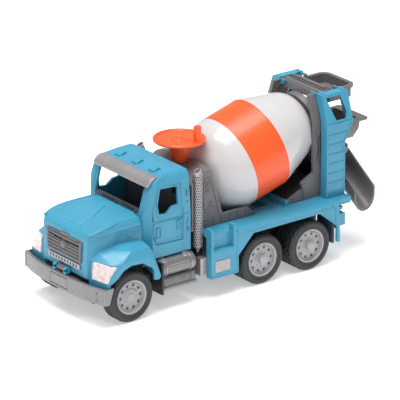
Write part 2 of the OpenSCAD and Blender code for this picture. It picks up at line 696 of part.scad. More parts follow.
module frame_post() {
  intersection() {
    across(0, 60) polygon([
      [-57.2, deck_z], [-57.2, 59], [-74, 66], [-72.5, 71.4], [post_x, 78], [post_x, 146],
      // slot for the tower's front bracket
      [-92.9, 146], [-92.9, 134.8], [-94.86, 134.8], [-94.86, 146], [-104, 146], [-104, deck_z]]);
    bent_wall(post_y[0], post_y[1]);
  }
}

module rear_frame() color(grey) difference() {
  union() {
    frame_post();
    mirror([0, 1, 0]) frame_post();
    block([-112, -24, 139.6], [-95.2, 24, 146]);
    block([-108, -22, 145], [-105, 22, 148.4]);
    at_drum() translate([0, 0, ring_s[0]]) cylinder(r = 23, h = ring_s[1] - ring_s[0]);
    at_drum() translate([-8, -30, ring_s[0]]) cube([16, 60, ring_s[1] - ring_s[0]]);
    both() for (z = [84, 100, 112])
      translate([-92, post_y[1] - 0.5, z]) rotate([-90, 0, 0]) cylinder(r = 0.9, h = 1, $fn = 24);
  }
  at_drum() translate([0, 0, ring_s[0] - 1]) cylinder(r = neck_r + run, h = 20);
}

module equipment_ramp() color(black) {
  foot = deck_z + 0.02;
  across(-28, 28) polygon([[-57.4, foot], [-57.4, 59], [-86, 71.4], [-88, 71.4], [-88, foot]]);
  block([-104, -28, foot], [-101.6, 28, 93]);
  block([-102, -28, foot], [-87, 28, foot + 3]);
}

// Outlines of the towers, seen from the side
tower_outline = [[tower_x, deck_z], [tower_x, lean_z], [-93.5, tower_top], [-121.4, tower_top],
                 [-121.4, lean_z], [-112.6, 103.5], [-112.6, deck_z]];
tower_hollow = [[tower_x - 2, deck_z + 2], [tower_x - 2, lean_z], [-95.4, 144.4], [-119.2, 144.4],
                [-119.2, lean_z], [-110.4, 103], [-110.4, deck_z + 2]];
tower_window = [[-97.4, 143.4], [-104, 123.4], [-114.6, 123.4], [-116.2, 129.6], [-112.4, 143.4]];
tower_web = 2;

module tower(left) color(blue) side(left) {
  difference() {
    intersection() {
      across(0, 60) polygon(tower_outline);
      bent_wall(tower_y[0], tower_y[1]);
    }
    intersection() {
      across(0, 60) polygon(tower_hollow);
      bent_wall(tower_y[0] - 1, tower_y[1] - tower_web);
    }
    across(0, 60) polygon(tower_window);
  }
  // front and rear strips and ribs
  across(tower_y[1] - 0.2, tower_y[1] + 0.7) difference() {
    union() {
      translate([tower_x - 1.6, deck_z]) square([1.6, lean_z - deck_z]);
      polygon([[-112.6, deck_z], [-112.6, 103.5], [-121.4, lean_z], [-120, lean_z], [-111.4, 103.9],
        [-111.4, deck_z]]);
      for (z = [60:8.6:118]) translate([-120, z]) square([27, 0.9]);
    }
    polygon([[-112.6, 50], [-112.6, 103.5], [-121.4, lean_z], [-140, lean_z], [-140, 50]]);
  }
  // curved brackets towards the cross beam, the front one raked like the tower
  intersection() {
    along(-100, -90) polygon([
      [36, 119], [34.2, 124], [32.4, 129], [29.8, 134], [26.2, 138.3], [21.5, 141.7], [17.5, 143.2],
      [17.5, tower_top], [29, tower_top]]);
    across(0, 60) polygon([
      [tower_x, 110], [tower_x, lean_z], [-93.5, tower_top], [-94.8, tower_top], [tower_x - 1.4, lean_z],
      [tower_x - 1.4, 110]]);
  }
  along(-119.4, -117.4) polygon([
    [36, 119], [31.5, 130], [28, 138], [25, 144.2], [18, 144.2], [18, tower_top], [29, tower_top]]);
}

hopper_rim = 143.6;
hopper_foot = 132.4;
hopper_front = -112.02;
hopper_corner = [-133.5, 13];
module hopper_outline(t)
  polygon(concat(arc(hopper_corner[0], hopper_corner[1], 9 - t, 90, 180),
                 arc(hopper_corner[0], -hopper_corner[1], 9 - t, 180, 270),
                 [[hopper_front, t - hopper_corner[1] - 9], [hopper_front, hopper_corner[1] + 9 - t]]));

module hopper() color(grey) difference() {
  union() {
    translate([0, 0, hopper_foot]) linear_extrude(hopper_rim - hopper_foot) hopper_outline(2);
    translate([0, 0, hopper_rim - 2.6]) linear_extrude(2.6) hopper_outline(0);
  }
  difference() {
    translate([0, 0, hopper_foot - 4]) linear_extrude(40) intersection() {
      hopper_outline(4);
      translate([-145, -30]) square([30.5, 60]);
    }
    // floor that slopes down to the front
    across(-40, 40) polygon([
      [-112, hopper_foot - 8], [-112, hopper_foot + 1.7], [-145, hopper_foot + 2.8],
      [-145, hopper_foot - 8]]);
  }
}

funnel_top = 110;
funnel_bottom = 91;
module funnel_block(t) intersection() {
  across(-30, 30) polygon([
    [-117 - t, funnel_top + 2 * t], [-117 - t, 104], [-123 - t, funnel_bottom + t],
    [-146.5 + t, funnel_bottom + t],
    [-149.6 + t, 104], [-149.6 + t, funnel_top + 2 * t]]);
  along(-160, -110) polygon([
    [-17 + t, funnel_top + 2 * t], [-17 + t, 100], [-12 + t, funnel_bottom + t], [12 - t, funnel_bottom + t],
    [17 - t, 100], [17 - t, funnel_top + 2 * t]]);
}

module discharge_funnel() color(grey) difference() {
  union() {
    funnel_block(0);
    block([-156.4, -19.5, funnel_top - 2.8], [-114.5, 19.5, funnel_top]);
    translate([swivel_x, 0, 75]) cylinder(r = spout_r, h = 18);
    // arms to the rear frame
    block([-118, -29.8, 100], [-114.5, 29.8, 106]);
    both() block([-118, 24.4, 100], [-104.02, 29.8, 106]);
  }
  funnel_block(2);
  block([-147.6, -15, funnel_top - 3], [-119, 15, funnel_top + 7]);
  translate([swivel_x, 0, 70]) cylinder(r = spout_r - 1.8, h = 30);
}

chute_ring = [77.2, 83];
chute_wall = 2.3;

// The channel's outline: a round bottom with straight walls, drawn across the flow.
module chute_outline(r) {
  circle(r = r);
  translate([-r, 0]) square([2 * r, 6]);
}

// Local z runs down the chute, from its swivel.
module at_chute()
  translate([swivel_x, 0, swivel_z]) rotate([-chute_fall, 0, 0]) rotate([-90, 0, 0]) mirror([0, 1, 0])
    children();

module chute() color(grey) difference() {
  union() {
    difference() {
      at_chute() translate([0, 0, -9])
        linear_extrude(chute_len / cos(chute_fall) + 20) chute_outline(chute_r);
      at_chute() translate([0, 0, -6.7]) linear_extrude(chute_len + 40) {
        chute_outline(chute_r - chute_wall);
        translate([-chute_r + chute_wall, 0]) square([2 * (chute_r - chute_wall), 20]);
      }
      block([-160, -30, chute_ring[1]], [-110, 30, 120]);
      block([-160, chute_len, 0], [-110, 80, 100]);
    }
    translate([swivel_x, 0, chute_ring[0]]) cylinder(r = 11.4, h = chute_ring[1] - chute_ring[0]);
  }
  translate([swivel_x, 0, chute_ring[0] - 2]) cylinder(r = spout_r + run, h = 20);
  translate([swivel_x, 0, chute_ring[0] - 12]) cylinder(r = 9.2, h = 12);
}

module chute_retainer() color(grey) translate([swivel_x, 0, 75]) difference() {
  cylinder(r = 9, h = 2);
  translate([0, 0, -1]) cylinder(r = spout_r, h = 4);
}

// ---------- the whole truck ----------

chassis();
battery_cover();
battery_cells();
circuit_board();
speaker();
power_switch();
headlight_leds();
bonnet();
cab();
cab_interior();
dashboard();
steering_wheel();
sun_visor();
grille();
intake_strip();
headlight_lens(true);  // headlight_lens_left
headlight_lens(false);  // headlight_lens_right
bumper();
tow_hooks();
winch_roller();
exhaust_stack(true);  // exhaust_stack_left
exhaust_stack(false);  // exhaust_stack_right
grab_bars();
fuel_tank(true);  // fuel_tank_left
fuel_tank(false);  // fuel_tank_right
side_boxes();
rear_mudflaps();
bed();
step_treads();
pedestal();
handwheel();
pinion();
drum_front();
drum_band();
drum_rear();
drum_gear();
rear_frame();
equipment_ramp();
tower(true);  // tower_left
tower(false);  // tower_right
hopper();
discharge_funnel();
chute();
chute_retainer();
screws();
axle(front_axle_x);  // axle_front
axle(mid_axle_x);  // axle_mid
axle(rear_axle_x);  // axle_rear
wheel_place(front_axle_x) front_rim();  // rim_front_left
side(false) wheel_place(front_axle_x) front_rim();  // rim_front_right
wheel_place(mid_axle_x) rear_rim();  // rim_mid_left
side(false) wheel_place(mid_axle_x) rear_rim();  // rim_mid_right
wheel_place(rear_axle_x) rear_rim();  // rim_rear_left
side(false) wheel_place(rear_axle_x) rear_rim();  // rim_rear_right
wheel_place(front_axle_x) tyre_ring(front_tyre_w);  // tyre_front_left
side(false) wheel_place(front_axle_x) tyre_ring(front_tyre_w);  // tyre_front_right
wheel_place(mid_axle_x) tyre_ring(rear_tyre_w);  // tyre_mid_left
side(false) wheel_place(mid_axle_x) tyre_ring(rear_tyre_w);  // tyre_mid_right
wheel_place(rear_axle_x) tyre_ring(rear_tyre_w);  // tyre_rear_left
side(false) wheel_place(rear_axle_x) tyre_ring(rear_tyre_w);  // tyre_rear_right
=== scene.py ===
# Looks of the toy cement mixer truck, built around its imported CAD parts.
# Places are in millimetres in the part's own frame, and metres only where a mesh or an object is made.
import json
import math

import bmesh
import bpy
from mathutils import Matrix, Vector


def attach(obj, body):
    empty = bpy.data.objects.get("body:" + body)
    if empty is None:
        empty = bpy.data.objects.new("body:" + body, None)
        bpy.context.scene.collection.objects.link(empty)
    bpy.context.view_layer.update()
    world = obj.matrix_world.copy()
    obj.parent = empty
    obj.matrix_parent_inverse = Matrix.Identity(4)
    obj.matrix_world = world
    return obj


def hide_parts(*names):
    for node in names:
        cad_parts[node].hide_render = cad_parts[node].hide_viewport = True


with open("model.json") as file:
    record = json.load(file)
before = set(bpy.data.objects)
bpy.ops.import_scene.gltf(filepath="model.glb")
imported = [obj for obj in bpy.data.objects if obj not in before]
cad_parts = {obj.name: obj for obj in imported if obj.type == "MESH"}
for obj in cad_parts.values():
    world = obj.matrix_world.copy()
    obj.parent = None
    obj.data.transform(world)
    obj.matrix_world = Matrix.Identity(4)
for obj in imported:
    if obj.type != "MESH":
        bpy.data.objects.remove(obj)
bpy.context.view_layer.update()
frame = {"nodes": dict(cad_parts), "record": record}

MM = 0.001
OUTWARD = {"left": 1, "right": -1}
NODES = frame["nodes"]
SLOT_OF = {s["node"]: s["material_slot"] for s in frame["record"]["subparts"]}

# Directions that fittings face
OUT, UP, AHEAD, ASTERN = (0, 1, 0), (0, 0, 1), (1, 0, 0), (-1, 0, 0)

# Key places, repeated from the part's source
DECK_Z = 55.5
DECK_W = 55.0
POST_Y = 33.0  # outer face of the frame posts and of the drum's pedestal
TOWER_RIB_Y = 42.7  # outer face of the towers' ribs
BOX_Y = 49.0  # outer face of the side boxes
BEAM_Z = 145.9  # just inside the top of the rear frame's cross beam
TYRE_R = 22.0
TYRE_FACE = 54.0
RIM_R = 15.0
AXLES = {"front": 122.5, "mid": -15.0, "rear": -66.5}
TYRE_W = {"front": 14.5, "mid": 24.0, "rear": 24.0}
STACK = (44.2, 40.0)
DRUM_AT = (-20.5, 0.0, 95.0)
DRUM_TILT = math.radians(16.3)
HAND_X = 33.0


# ---------- materials ----------

NOISE_RANGE = (0.3, 0.7)
# Noise scales in cycles per metre
DRIFT_SCALE, GLOSS_SCALE, GRAIN_SCALE = 45, 160, 1500


def new_material(name):
    """A material with its shader, and a noise texture in object space to vary it."""
    m = bpy.data.materials.new(name)
    m.use_nodes = True
    tree = m.node_tree
    shader = tree.nodes["Principled BSDF"]
    where = tree.nodes.new("ShaderNodeTexCoord")
    return m, tree, shader, where.outputs["Object"]


def noise(tree, where, scale, detail=2.0):
    """Noise from 0 to 1; scale is in cycles per metre."""
    n = tree.nodes.new("ShaderNodeTexNoise")
    n.inputs["Scale"].default_value = scale
    n.inputs["Detail"].default_value = detail
    tree.links.new(where, n.inputs["Vector"])
    return n.outputs["Fac"]


def spread(tree, value, low, high):
    """Stretches noise, which mostly lies in NOISE_RANGE, so that it runs from low to high."""
    n = tree.nodes.new("ShaderNodeMapRange")
    n.inputs["From Min"].default_value = NOISE_RANGE[0]
    n.inputs["From Max"].default_value = NOISE_RANGE[1]
    n.inputs["To Min"].default_value = low
    n.inputs["To Max"].default_value = high
    tree.links.new(value, n.inputs["Value"])
    return n.outputs["Result"]


def mixed(tree, factor, a, b):
    """A colour between a and b."""
    n = tree.nodes.new("ShaderNodeMix")
    n.data_type = "RGBA"
    n.inputs["A"].default_value = (*a, 1)
    n.inputs["B"].default_value = (*b, 1)
    tree.links.new(factor, n.inputs["Factor"])
    return n.outputs["Result"]


def grain(tree, shader, value, strength, distance):
    """Makes the value a fine relief of the shader's surface; distance is in metres."""
    n = tree.nodes.new("ShaderNodeBump")
    n.inputs["Strength"].default_value = strength
    n.inputs["Distance"].default_value = distance
    tree.links.new(value, n.inputs["Height"])
    tree.links.new(n.outputs["Normal"], shader.inputs["Normal"])


def moulded(name, colour, rough, tint=0.05, texture=0.04, metallic=0.0, coat=0.0):
    """Moulded plastic: a slow drift of colour, uneven gloss and a fine grain."""
    m, tree, shader, where = new_material(name)
    dark = tuple(c * (1 - tint) for c in colour)
    light = tuple(min(1.0, c * (1 + tint)) for c in colour)
    drift = spread(tree, noise(tree, where, DRIFT_SCALE), 0, 1)
    tree.links.new(mixed(tree, drift, dark, light), shader.inputs["Base Color"])
    gloss = spread(tree, noise(tree, where, GLOSS_SCALE, 4), rough * 0.85, rough * 1.15)
    tree.links.new(gloss, shader.inputs["Roughness"])
    grain(tree, shader, noise(tree, where, GRAIN_SCALE), texture, 0.0002)
    shader.inputs["Metallic"].default_value = metallic
    shader.inputs["Coat Weight"].default_value = coat
    return m


def lens_material():
    """Clear lamp lens over a lit lamp: pale, glossy and glowing a little."""
    m, tree, shader, where = new_material("lens_clear")
    drift = spread(tree, noise(tree, where, 300), 0, 1)
    pale = mixed(tree, drift, (0.60, 0.46, 0.46), (0.80, 0.70, 0.70))
    tree.links.new(pale, shader.inputs["Base Color"])
    tree.links.new(spread(tree, noise(tree, where, 200), 0.08, 0.18), shader.inputs["Roughness"])
    grain(tree, shader, noise(tree, where, 900), 0.15, 0.0003)
    shader.inputs["Emission Color"].default_value = (1.0, 0.93, 0.93, 1)
    shader.inputs["Emission Strength"].default_value = 0.05
    return m


MATERIALS = {
    "blue_plastic": moulded("blue_plastic", (0.049, 0.298, 0.45), 0.38, coat=0.05),
    "orange_plastic": moulded("orange_plastic", (0.88, 0.098, 0.014), 0.34, coat=0.08),
    "white_plastic": moulded("white_plastic", (0.58, 0.56, 0.565), 0.22, tint=0.02, texture=0.02, coat=0.3),
    "grey_plastic": moulded("grey_plastic", (0.15, 0.138, 0.142), 0.42),
    "black_plastic": moulded("black_plastic", (0.018, 0.018, 0.02), 0.45),
    "silver_finish": moulded("silver_finish", (0.40, 0.385, 0.39), 0.34, metallic=0.6, texture=0.02),
    # a darker copy of silver_finish: painted shade for the dark reflections in the chrome of the bumper and
    # the tanks
    "shaded_silver": moulded("shaded_silver", (0.235, 0.228, 0.233), 0.36, metallic=0.5, texture=0.02),
    "rim_plastic": moulded("rim_plastic", (0.38, 0.375, 0.385), 0.4),
    "tyre_rubber": moulded("tyre_rubber", (0.035, 0.035, 0.037), 0.6, texture=0.1),
    "interior_plastic": moulded("interior_plastic", (0.05, 0.057, 0.07), 0.5),
    "lens_clear": lens_material(),
    "led_white": moulded("led_white", (0.9, 0.9, 0.95), 0.1, tint=0.02),
    "mudflap_plastic": moulded("mudflap_plastic", (0.05, 0.09, 0.14), 0.5),
    "steel": moulded("steel", (0.6, 0.6, 0.62), 0.28, tint=0.02, metallic=1.0, texture=0.02),
    "gear_plastic": moulded("gear_plastic", (0.75, 0.73, 0.68), 0.4),
    "cell_wrap": moulded("cell_wrap", (0.5, 0.32, 0.08), 0.3, metallic=0.3),
    "board": moulded("board", (0.02, 0.14, 0.05), 0.4),
    "speaker_metal": moulded("speaker_metal", (0.08, 0.08, 0.09), 0.35, metallic=0.6),
}
# The lamps behind the lenses are lit
led = MATERIALS["led_white"].node_tree.nodes["Principled BSDF"]
led.inputs["Emission Color"].default_value = (1.0, 0.97, 0.97, 1)
led.inputs["Emission Strength"].default_value = 3.0


# ---------- shapes ----------

SHARP = 35  # degrees between faces, from which an edge is rounded
SUNK = 0.3  # how far raised shapes reach into the wall they lie on


def box(lo, hi):
    """A block between two opposite corners."""
    verts = [(x, y, z) for x in (lo[0], hi[0]) for y in (lo[1], hi[1]) for z in (lo[2], hi[2])]
    return verts, [(0, 1, 3, 2), (4, 6, 7, 5), (0, 4, 5, 1), (2, 3, 7, 6), (0, 2, 6, 4), (1, 5, 7, 3)]


def loft(rings, closed=False):
    """Joins rings of the same number of points. closed joins the last ring to the first."""
    n = len(rings[0])
    verts = [p for ring in rings for p in ring]
    faces = []
    for i in range(len(rings) if closed else len(rings) - 1):
        a, b = i * n, (i + 1) % len(rings) * n
        faces += [(a + j, a + (j + 1) % n, b + (j + 1) % n, b + j) for j in range(n)]
    if not closed:
        faces += [tuple(reversed(range(n))), tuple(range(len(verts) - n, len(verts)))]
    return verts, faces


def across(outline, y0, y1):
    """An outline in x and z, carried across the truck from y0 to y1."""
    return loft([[(x, y, z) for x, z in outline] for y in (y0, y1)])


def along(outline, x0, x1):
    """An outline in y and z, carried along the truck from x0 to x1."""
    return loft([[(x, y, z) for y, z in outline] for x in (x0, x1)])


def circle(n, r):
    """n points round a circle."""
    return [(r * math.cos(2 * math.pi * i / n), r * math.sin(2 * math.pi * i / n)) for i in range(n)]


def facing(at, axis):
    """Places local +z along axis at the point at."""
    turn = Vector(axis).to_track_quat("Z", "Y").to_matrix().to_4x4()
    return Matrix.Translation(at) @ turn


def moved(matrix, shape):
    """The shape in a new place."""
    verts, faces = shape
    return [tuple(matrix @ Vector(v)) for v in verts], faces


def turned(profile, n=24):
    """Turns (radius, height) pairs about local z."""
    return loft([[(r * c, r * s, z) for c, s in circle(n, 1)] for r, z in profile])


def hoop(profile, n=64):
    """Turns a closed outline of (radius, height) pairs about local z, with a hole in the middle."""
    return loft([[(r * c, r * s, z) for r, z in profile] for c, s in circle(n, 1)], closed=True)


def band(inner, outer, low, high):
    """A square-edged outline for a hoop."""
    return [(inner, low), (outer, low), (outer, high), (inner, high)]


def stud(at, axis, r, h):
    """A low domed rivet head standing on the point at."""
    profile = [(r, -0.2), (r, h * 0.45), (r * 0.8, h * 0.85), (r * 0.35, h)]
    return moved(facing(at, axis), turned(profile, 12))


def bolt(at, axis, r, h):
    """A hexagonal bolt head."""
    return moved(facing(at, axis), turned([(r, -0.2), (r, h * 0.8), (r * 0.86, h)], 6))


def rod(path, r, n=10):
    """A round rod along a path of points."""
    points = [Vector(p) for p in path]
    rings = []
    for i, p in enumerate(points):
        ahead = (points[min(i + 1, len(points) - 1)] - points[max(i - 1, 0)]).normalized()
        rings.append([tuple(facing(p, ahead) @ Vector((x, y, 0))) for x, y in circle(n, r)])
    return loft(rings)


def mirrored(shapes):
    """The shapes and their mirror images on the other side of the truck."""
    flip = [([(x, -y, z) for x, y, z in v], [tuple(reversed(f)) for f in faces]) for v, faces in shapes]
    return list(shapes) + flip


def piece(name, shapes, slot, body="root", round_off=0.0, smooth=40):
    """Makes one object of the shapes, in the finish of the record's slot, riding on the body."""
    verts, faces = [], []
    for v, f in shapes:
        faces += [tuple(i + len(verts) for i in face) for face in f]
        verts += v
    mesh = bpy.data.meshes.new(name)
    mesh.from_pydata([(x * MM, y * MM, z * MM) for x, y, z in verts], [], faces)
    work = bmesh.new()
    work.from_mesh(mesh)
    bmesh.ops.recalc_face_normals(work, faces=work.faces)
    work.to_mesh(mesh)
    work.free()
    obj = bpy.data.objects.new(name, mesh)
    bpy.context.scene.collection.objects.link(obj)
    mesh.materials.append(MATERIALS[slot])
    mesh.shade_smooth()
    mesh.set_sharp_from_angle(angle=math.radians(smooth))
    if round_off:
        rounded(obj, round_off)
    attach(obj, body)
    return obj


def rounded(obj, width):
    """Rounds an object's sharp edges and evens out its shading."""
    bevel = obj.modifiers.new("edges", "BEVEL")
    bevel.width = width * MM
    bevel.segments = 2
    bevel.limit_method = "ANGLE"
    bevel.angle_limit = math.radians(SHARP)
    bevel.use_clamp_overlap = False
    bevel.miter_outer = "MITER_ARC"
    even = obj.modifiers.new("even", "WEIGHTED_NORMAL")
    even.keep_sharp = False


# ---------- CAD nodes ----------

# How far the edges of each finish are rounded
EDGE = {"blue_plastic": 0.45, "grey_plastic": 0.4, "black_plastic": 0.35, "silver_finish": 0.35,
        "orange_plastic": 0.3, "white_plastic": 0.2, "rim_plastic": 0.25, "lens_clear": 0.4,
        "interior_plastic": 0.5}
OTHER_EDGE, FINE_EDGE = 0.2, 0.12
# Nodes with small features, which take the fine edge
PLAIN = {"screws", "steering_wheel", "circuit_board", "power_switch"}
# Nodes in a darker copy of the silver: painted shade that stands for the dark reflections in their chrome
SHADED_SILVER_NODES = {"bumper", "fuel_tank_left", "fuel_tank_right"}


def dress_nodes():
    """Gives each CAD node its finish, and rounds its edges."""
    for name, obj in NODES.items():
        slot = SLOT_OF[name]
        mesh = obj.data
        mesh.materials.clear()
        mesh.materials.append(MATERIALS["shaded_silver" if name in SHADED_SILVER_NODES else slot])
        if "custom_normal" in mesh.attributes:
            mesh.attributes.remove(mesh.attributes["custom_normal"])
        mesh.shade_smooth()
        weld = obj.modifiers.new("weld", "WELD")
        weld.merge_threshold = 0.002 * MM
        rounded(obj, FINE_EDGE if name in PLAIN else EDGE.get(slot, OTHER_EDGE))


dress_nodes()


# ---------- wheels ----------

TYRE_STEPS = 240  # steps round the tyre
TREAD_PERIOD = 10  # steps from one diamond to the next
TREAD_COLUMNS = 18
TREAD_DEPTH = 0.9
GROOVE = 0.09  # half width of the slanted grooves, as a share of a diamond
SHOULDER_CUT = 0.6
DISC_AT = 3.4  # depth of the rim's disc below the tyre's face


def tyre(axle, side):
    """A tyre with diamond tread blocks, on the seat of its rim."""
    width, x, out = TYRE_W[axle], AXLES[axle], OUTWARD[side]
    wall = [(RIM_R, 1.2), (RIM_R + 0.9, 0.3), (RIM_R + 1.9, 0.25), (RIM_R + 2.1, 0.55), (RIM_R + 2.7, 0.55),
            (RIM_R + 2.9, 0.15), (TYRE_R - 2.9, 0.0), (TYRE_R - 1.6, 0.45), (TYRE_R - 0.7, 1.3)]
    columns = TREAD_COLUMNS
    tread = [(TYRE_R, 2.2 + (width - 4.4) * i / columns) for i in range(columns + 1)]
    profile = wall + tread + [(r, width - w) for r, w in reversed(wall)]
    rings = []
    for i in range(TYRE_STEPS):
        a = 2 * math.pi * i / TYRE_STEPS
        ring = []
        for j, (r, w) in enumerate(profile):
            column = j - len(wall)
            if 0 <= column <= columns:
                u = abs((i / TREAD_PERIOD) % 1 - 0.5)
                v = abs((column / columns * 3) % 1 - 0.5)
                if abs(u + v - 0.5) < GROOVE or column in (3, columns - 3):
                    r -= TREAD_DEPTH
            elif (column == -1 or column == columns + 1) and i % TREAD_PERIOD < 3:
                r -= SHOULDER_CUT
            ring.append((x + r * math.cos(a), out * (TYRE_FACE - w), TYRE_R + r * math.sin(a)))
        rings.append(ring)
    made = piece(f"treaded_tyre_{axle}_{side}", [loft(rings, closed=True)], "tyre_rubber",
                 f"{axle}_wheels", smooth=50)
    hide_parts(f"tyre_{axle}_{side}")


def rim_hole_shade(axle, side):
    """Dark discs of painted shade in the round hand holes of the rim's disc."""
    x, out = AXLES[axle], OUTWARD[side]
    r = 1.5 if axle == "front" else 1.35
    holes, circle_r = 10, 10.4
    shapes = []
    for i in range(holes):
        a = 2 * math.pi * i / holes
        at = (x + circle_r * math.cos(a), out * (TYRE_FACE - DISC_AT), TYRE_R - circle_r * math.sin(a))
        # each disc is painted shade standing for the inside of a hole
        shapes.append(moved(facing(at, (0, out, 0)), turned([(r, -0.3), (r, 0.04), (r * 0.7, 0.02)], 20)))
    piece(f"rim_hole_shade_{axle}_{side}", shapes, "interior_plastic", f"{axle}_wheels")


def rim_details(axle, side):
    """Bolts round the hub, a stepped cap and a lip round the disc."""
    x, out = AXLES[axle], OUTWARD[side]
    face = TYRE_FACE - DISC_AT
    bolts, ring_r = (10, 5.4) if axle == "front" else (8, 6.4)
    start = 2.4 if axle == "front" else DISC_AT
    shapes = []
    for i in range(bolts):
        a = 2 * math.pi * i / bolts
        at = (x + ring_r * math.cos(a), out * (TYRE_FACE - start), TYRE_R + ring_r * math.sin(a))
        shapes.append(bolt(at, (0, out, 0), 0.6, 0.6))
    # the front hubs are sunk, and the rear ones stand proud of the tyre
    if axle == "front":
        hub = (x, out * (TYRE_FACE - 2.4), TYRE_R)
        profile = [(3.4, -0.2), (3.4, 0.6), (3.0, 0.9), (1.2, 1.0)]
    else:
        hub = (x, out * (TYRE_FACE + 0.4), TYRE_R)
        profile = [(3.6, -0.2), (3.6, 0.3), (3.1, 0.6), (1.2, 0.7)]
    shapes.append(moved(facing(hub, (0, out, 0)), turned(profile, 32)))
    lip = [(12.2, 0.0), (12.2, 0.5), (11.8, 0.7), (11.4, 0.5), (11.4, 0.0)]
    shapes.append(moved(facing((x, out * face, TYRE_R), (0, out, 0)), hoop(lip)))
    piece(f"rim_trim_{axle}_{side}", shapes, "rim_plastic", f"{axle}_wheels")


for axle in AXLES:
    for side in ("left", "right"):
        tyre(axle, side)
        rim_details(axle, side)
        rim_hole_shade(axle, side)


# ---------- deck ----------

CHEQUER_PITCH = 1.6  # of the deck's plates
CHEQUER_H = 0.3


def lozenge(x, y, z, angle, length=0.75, width=0.3):
    """One raised bar of chequer plate, lying flat."""
    c, s = math.cos(angle), math.sin(angle)

    def at(u, v, h):
        return x + u * c - v * s, y + u * s + v * c, z + h
    verts = [at(-length, 0, -0.1), at(0, -width, -0.1), at(length, 0, -0.1), at(0, width, -0.1),
             at(-length * 0.5, 0, CHEQUER_H), at(length * 0.5, 0, CHEQUER_H)]
    return verts, [(3, 2, 1, 0), (0, 1, 4), (1, 5, 4), (1, 2, 5), (2, 3, 5), (3, 4, 5), (3, 0, 4)]


def slant(i, j):
    """Bars of chequer plate lean one way and the other by turns."""
    return math.pi / 4 if (i + j) % 2 else -math.pi / 4


def chequer_plate(x0, x1, y0, y1, z):
    """Chequer bars on a level floor."""
    shapes, pitch = [], CHEQUER_PITCH
    for i in range(int((x1 - x0) / pitch)):
        for j in range(int((y1 - y0) / pitch)):
            shapes.append(lozenge(x0 + (i + 0.5) * pitch, y0 + (j + 0.5) * pitch, z, slant(i, j)))
    return shapes


def chequer_wall(corner, steps, count, face, width):
    """Chequer bars on a wall that faces sideways, from its lower rear corner in x and z."""
    shapes = []
    for i in range(count[0]):
        for j in range(count[1]):
            verts, faces = lozenge(0, 0, 0, slant(i, j), 0.85, width)
            x, z = corner[0] + i * steps[0], corner[1] + j * steps[1]
            shapes.append(([(x + u, face + h, z + v) for u, v, h in verts],
                           [tuple(reversed(f)) for f in faces]))
    return shapes


def deck_details():
    """Chequer plate on the deck and on the side steps, and studs on the skirts."""
    plates = chequer_plate(-86, 13, 34.4, 49, DECK_Z) + chequer_plate(-53, -23.5, 24.2, 34.2, DECK_Z)
    plates += chequer_plate(-53, -46, 0, 24, DECK_Z)
    piece("deck_chequer", mirrored(plates), "blue_plastic")
    bars = chequer_wall((22.2, 23.8), (1.7, 1.68), (9, 6), DECK_W + 0.1, 0.33)
    piece("step_chequer", mirrored(bars), "silver_finish")
    studs = [stud((x, DECK_W, z), OUT, 0.7, 0.45) for x, z in
             [(-84, 51.5), (-93, 44), (-93, 51.5), (39.6, 52), (39.6, 20)]]
    piece("skirt_studs", mirrored(studs), "blue_plastic")


deck_details()


# ---------- exhaust guards ----------

GUARD = (45.8, 108.5)  # bottom and top of the sleeve
GUARD_R = 4.15
HOLE = 0.37  # radius of a hole, as a share of its cell


def perforated_guard():
    """A sleeve with staggered round holes over a dark core of painted shade, which shows through the holes,
    with a collar at each end, on both stacks.
    """
    around, up, ring = 14, 26, 8
    cell_h = (GUARD[1] - GUARD[0]) / up
    cell_a = 2 * math.pi / around
    verts, faces = [], []
    for row in range(up):
        for k in range(around):
            a0, z0 = (k + 0.5 * (row % 2)) * cell_a, GUARD[0] + row * cell_h
            base = len(verts)
            corners = [(0, 0), (0.5, 0), (1, 0), (1, 0.5), (1, 1), (0.5, 1), (0, 1), (0, 0.5)]
            hole = [(0.5 + HOLE * math.cos(t), 0.5 + HOLE * math.sin(t)) for t in
                    [math.radians(225 + 45 * q) for q in range(ring)]]
            for u, v in corners + hole:
                a = a0 + u * cell_a
                verts.append((STACK[0] + GUARD_R * math.cos(a), STACK[1] + GUARD_R * math.sin(a),
                              z0 + v * cell_h))
            faces += [(base + q, base + (q + 1) % ring, base + ring + (q + 1) % ring, base + ring + q)
                      for q in range(ring)]
    made = piece("stack_guards", mirrored([(verts, faces)]), "silver_finish")
    weld = made.modifiers.new("weld", "WELD")
    weld.merge_threshold = 0.01 * MM
    thick = made.modifiers.new("thick", "SOLIDIFY")
    thick.thickness = 0.3 * MM
    # the dark core is painted shade for the inside of the sleeve, seen through its holes
    core = moved(facing((*STACK, GUARD[0]), UP), hoop(band(3.5, 3.88, 0, 62), 32))
    piece("stack_core_shade", mirrored([core]), "interior_plastic")
    caps = []
    for z in GUARD:
        caps.append(moved(facing((*STACK, z - 0.6), UP),
                          hoop([(3.7, 0), (4.3, 0), (4.5, 0.3), (4.5, 0.9), (4.3, 1.2), (3.7, 1.2)], 32)))
    piece("stack_collars", mirrored(caps), "silver_finish")


perforated_guard()


# ---------- bonnet ----------

# (place, value) pairs of the CAD walls: height of the top along x, half width along x and up z
BONNET_TOP = [(99.2, 83.6), (112, 84.2), (126, 83.0), (138, 80.6), (146, 77.8), (150.6, 74.6), (152, 71)]
BONNET_PLAN = [(98, 36.4), (134, 34.6), (147, 32.8), (152, 30.6)]
BONNET_SECTION = [(30, 36.4), (68, 36.4), (77, 35.4), (81, 33.0), (83.6, 24.0)]
CAB_SECTION = [(40, 43.0), (79, 43.0), (108, 40.6), (113, 39.4)]


def between(table, x):
    """The value at x on a line through the table's points."""
    for (x0, v0), (x1, v1) in zip(table, table[1:]):
        if x <= x1:
            return v0 + (v1 - v0) * max(0.0, (x - x0) / (x1 - x0))
    return table[-1][1]


def bonnet_side(x, z):
    """The bonnet's side wall."""
    return min(between(BONNET_PLAN, x), between(BONNET_SECTION, z))


